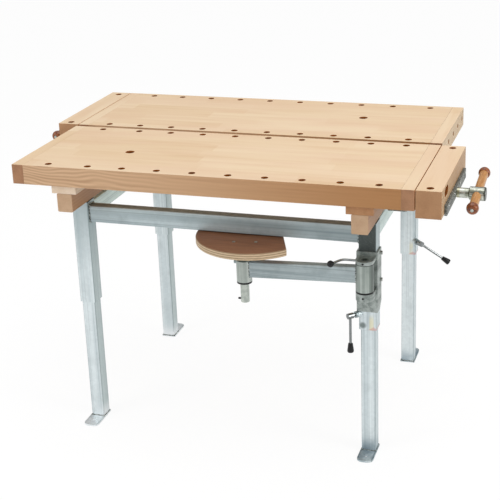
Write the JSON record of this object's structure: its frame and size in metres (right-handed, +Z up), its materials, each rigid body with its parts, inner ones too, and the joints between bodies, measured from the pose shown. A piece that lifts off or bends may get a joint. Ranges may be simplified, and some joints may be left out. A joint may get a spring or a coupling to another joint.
{
  "type": "woodworking bench with vises",
  "caption": "Woodworking bench with paired beech tops, an end vise on each, telescopic galvanised legs clamped by levers, and a swing-out seat on an arm.",
  "frame": {"origin": "on the floor under the middle of the outer box", "axes": "+X along the tops towards the front vise, +Y from the seat side to the far side, +Z up"},
  "size_m": [1.7492, 1.0512, 1.008],
  "materials": {
    "beech": "oiled beech",
    "packing_wood": "planed softwood",
    "knob_wood": "varnished",
    "bar_wood": "varnished",
    "seat_plywood": "varnished plywood",
    "galvanised_steel": "galvanised",
    "bright_steel": "zinc plated",
    "vise_steel": "zinc plated, dull",
    "black_plastic": "moulded"
  },
  "bodies": {
    "frame": {"back_far_end_cap": "beech", "back_left_leg_sleeve": "galvanised_steel", "back_rail": "galvanised_steel", "back_right_leg_sleeve": "galvanised_steel", "back_top_board": "beech", "back_vise_end_cap": "beech", "back_vise_nut_block": "vise_steel", "front_far_end_cap": "beech", "front_left_leg_sleeve": "galvanised_steel", "front_rail": "galvanised_steel", "front_right_leg_sleeve": "galvanised_steel", "front_top_board": "beech", "front_vise_end_cap": "beech", "front_vise_nut_block": "vise_steel", "left_bearer": "beech", "left_packing_board": "packing_wood", "left_side_rail": "galvanised_steel", "lower_bracket_bolt": "vise_steel", "pivot_pin": "bright_steel", "right_bearer": "beech", "right_packing_board": "packing_wood", "right_side_rail": "galvanised_steel", "seat_bracket": "galvanised_steel", "upper_bracket_bolt": "vise_steel"},
    "front_jaw": {"front_vise_jaw": "beech", "front_vise_plate": "vise_steel", "front_vise_guide_rod_1": "bright_steel", "front_vise_guide_rod_2": "bright_steel"},
    "front_screw": {"front_vise_screw": "bright_steel"},
    "front_bar": {"front_vise_bar": "bar_wood", "front_vise_knob_outer": "knob_wood", "front_vise_knob_inner": "knob_wood"},
    "back_jaw": {"back_vise_jaw": "beech", "back_vise_plate": "vise_steel", "back_vise_guide_rod_1": "bright_steel", "back_vise_guide_rod_2": "bright_steel"},
    "back_screw": {"back_vise_screw": "bright_steel"},
    "back_bar": {"back_vise_bar": "bar_wood", "back_vise_knob_outer": "knob_wood", "back_vise_knob_inner": "knob_wood"},
    "front_left_inner_leg": {"front_left_leg": "galvanised_steel"},
    "front_left_lever": {"front_left_clamp_lever": "bright_steel", "front_left_lever_grip": "black_plastic"},
    "front_right_inner_leg": {"front_right_leg": "galvanised_steel"},
    "front_right_lever": {"front_right_clamp_lever": "bright_steel", "front_right_lever_grip": "black_plastic"},
    "back_left_inner_leg": {"back_left_leg": "galvanised_steel"},
    "back_left_lever": {"back_left_clamp_lever": "bright_steel", "back_left_lever_grip": "black_plastic"},
    "back_right_inner_leg": {"back_right_leg": "galvanised_steel"},
    "back_right_lever": {"back_right_clamp_lever": "bright_steel", "back_right_lever_grip": "black_plastic"},
    "seat_arm": {"swing_arm": "galvanised_steel", "pivot_bush": "black_plastic", "post_bush": "black_plastic"},
    "seat_column": {"seat_post": "bright_steel"},
    "seat": {"seat_plate": "galvanised_steel", "seat_disc": "seat_plywood"},
    "arm_lock": {"lock_lever": "vise_steel", "lock_ball": "black_plastic"}
  },
  "joints": [
    {"name": "front_jaw_slide", "type": "slide", "parent": "frame", "child": "front_jaw", "axis": [1, 0, 0], "range_m": [0, 0.15]},
    {"name": "front_screw_turn", "type": "hinge", "parent": "front_jaw", "child": "front_screw", "pos_m": [0.775, -0.24636, 0.926], "axis": [1, 0, 0], "range_deg": [0, 9000]},
    {"name": "front_bar_slide", "type": "slide", "parent": "front_screw", "child": "front_bar", "axis": [0, 0.9938, 0.1115], "range_m": [-0.129, 0.073]},
    {"name": "back_jaw_slide", "type": "slide", "parent": "frame", "child": "back_jaw", "axis": [-1, 0, 0], "range_m": [0, 0.15]},
    {"name": "back_screw_turn", "type": "hinge", "parent": "back_jaw", "child": "back_screw", "pos_m": [-0.775, 0.27564, 0.926], "axis": [-1, 0, 0], "range_deg": [0, 9000]},
    {"name": "back_bar_slide", "type": "slide", "parent": "back_screw", "child": "back_bar", "axis": [0, -0.999, -0.0436], "range_m": [-0.088, 0.114]},
    {"name": "front_left_leg_slide", "type": "slide", "parent": "frame", "child": "front_left_inner_leg", "axis": [0, 0, 1], "range_m": [-0.04, 0.24]},
    {"name": "front_left_lever_turn", "type": "hinge", "parent": "frame", "child": "front_left_lever", "pos_m": [-0.56482, -0.28605, 0.52], "axis": [-0.7071, 0.7071, 0], "range_deg": [-60, 60]},
    {"name": "front_right_leg_slide", "type": "slide", "parent": "frame", "child": "front_right_inner_leg", "axis": [0, 0, 1], "range_m": [-0.04, 0.24]},
    {"name": "front_right_lever_turn", "type": "hinge", "parent": "frame", "child": "front_right_lever", "pos_m": [0.45818, -0.39268, 0.52], "axis": [-0.7071, -0.7071, 0], "range_deg": [-75, 75]},
    {"name": "back_left_leg_slide", "type": "slide", "parent": "frame", "child": "back_left_inner_leg", "axis": [0, 0, 1], "range_m": [-0.04, 0.24]},
    {"name": "back_left_lever_turn", "type": "hinge", "parent": "frame", "child": "back_left_lever", "pos_m": [-0.45818, 0.42195, 0.52], "axis": [0.7071, 0.7071, 0], "range_deg": [-60, 60]},
    {"name": "back_right_leg_slide", "type": "slide", "parent": "frame", "child": "back_right_inner_leg", "axis": [0, 0, 1], "range_m": [-0.04, 0.24]},
    {"name": "back_right_lever_turn", "type": "hinge", "parent": "frame", "child": "back_right_lever", "pos_m": [0.56482, 0.31532, 0.52], "axis": [0.7071, -0.7071, 0], "range_deg": [-50, 50]},
    {"name": "seat_swing", "type": "hinge", "parent": "frame", "child": "seat_arm", "pos_m": [0.5115, -0.40766, 0.67], "axis": [0, 0, 1], "range_deg": [-20, 150]},
    {"name": "seat_lift", "type": "slide", "parent": "seat_arm", "child": "seat_column", "axis": [0, 0, 1], "range_m": [-0.023, 0.002]},
    {"name": "seat_swivel", "type": "hinge", "parent": "seat_column", "child": "seat", "pos_m": [0.0985, -0.40766, 0.735], "axis": [0, 0, 1], "continuous": true},
    {"name": "arm_lock_turn", "type": "hinge", "parent": "frame", "child": "arm_lock", "pos_m": [0.47, -0.40766, 0.726], "axis": [-1, 0, 0], "range_deg": [0, 100]}
  ],
  "couplings": [
    {"joint": "front_jaw_slide", "follows": "front_screw_turn", "m_per_rad": 0.00095492},
    {"joint": "back_jaw_slide", "follows": "back_screw_turn", "m_per_rad": 0.00095492}
  ]
}
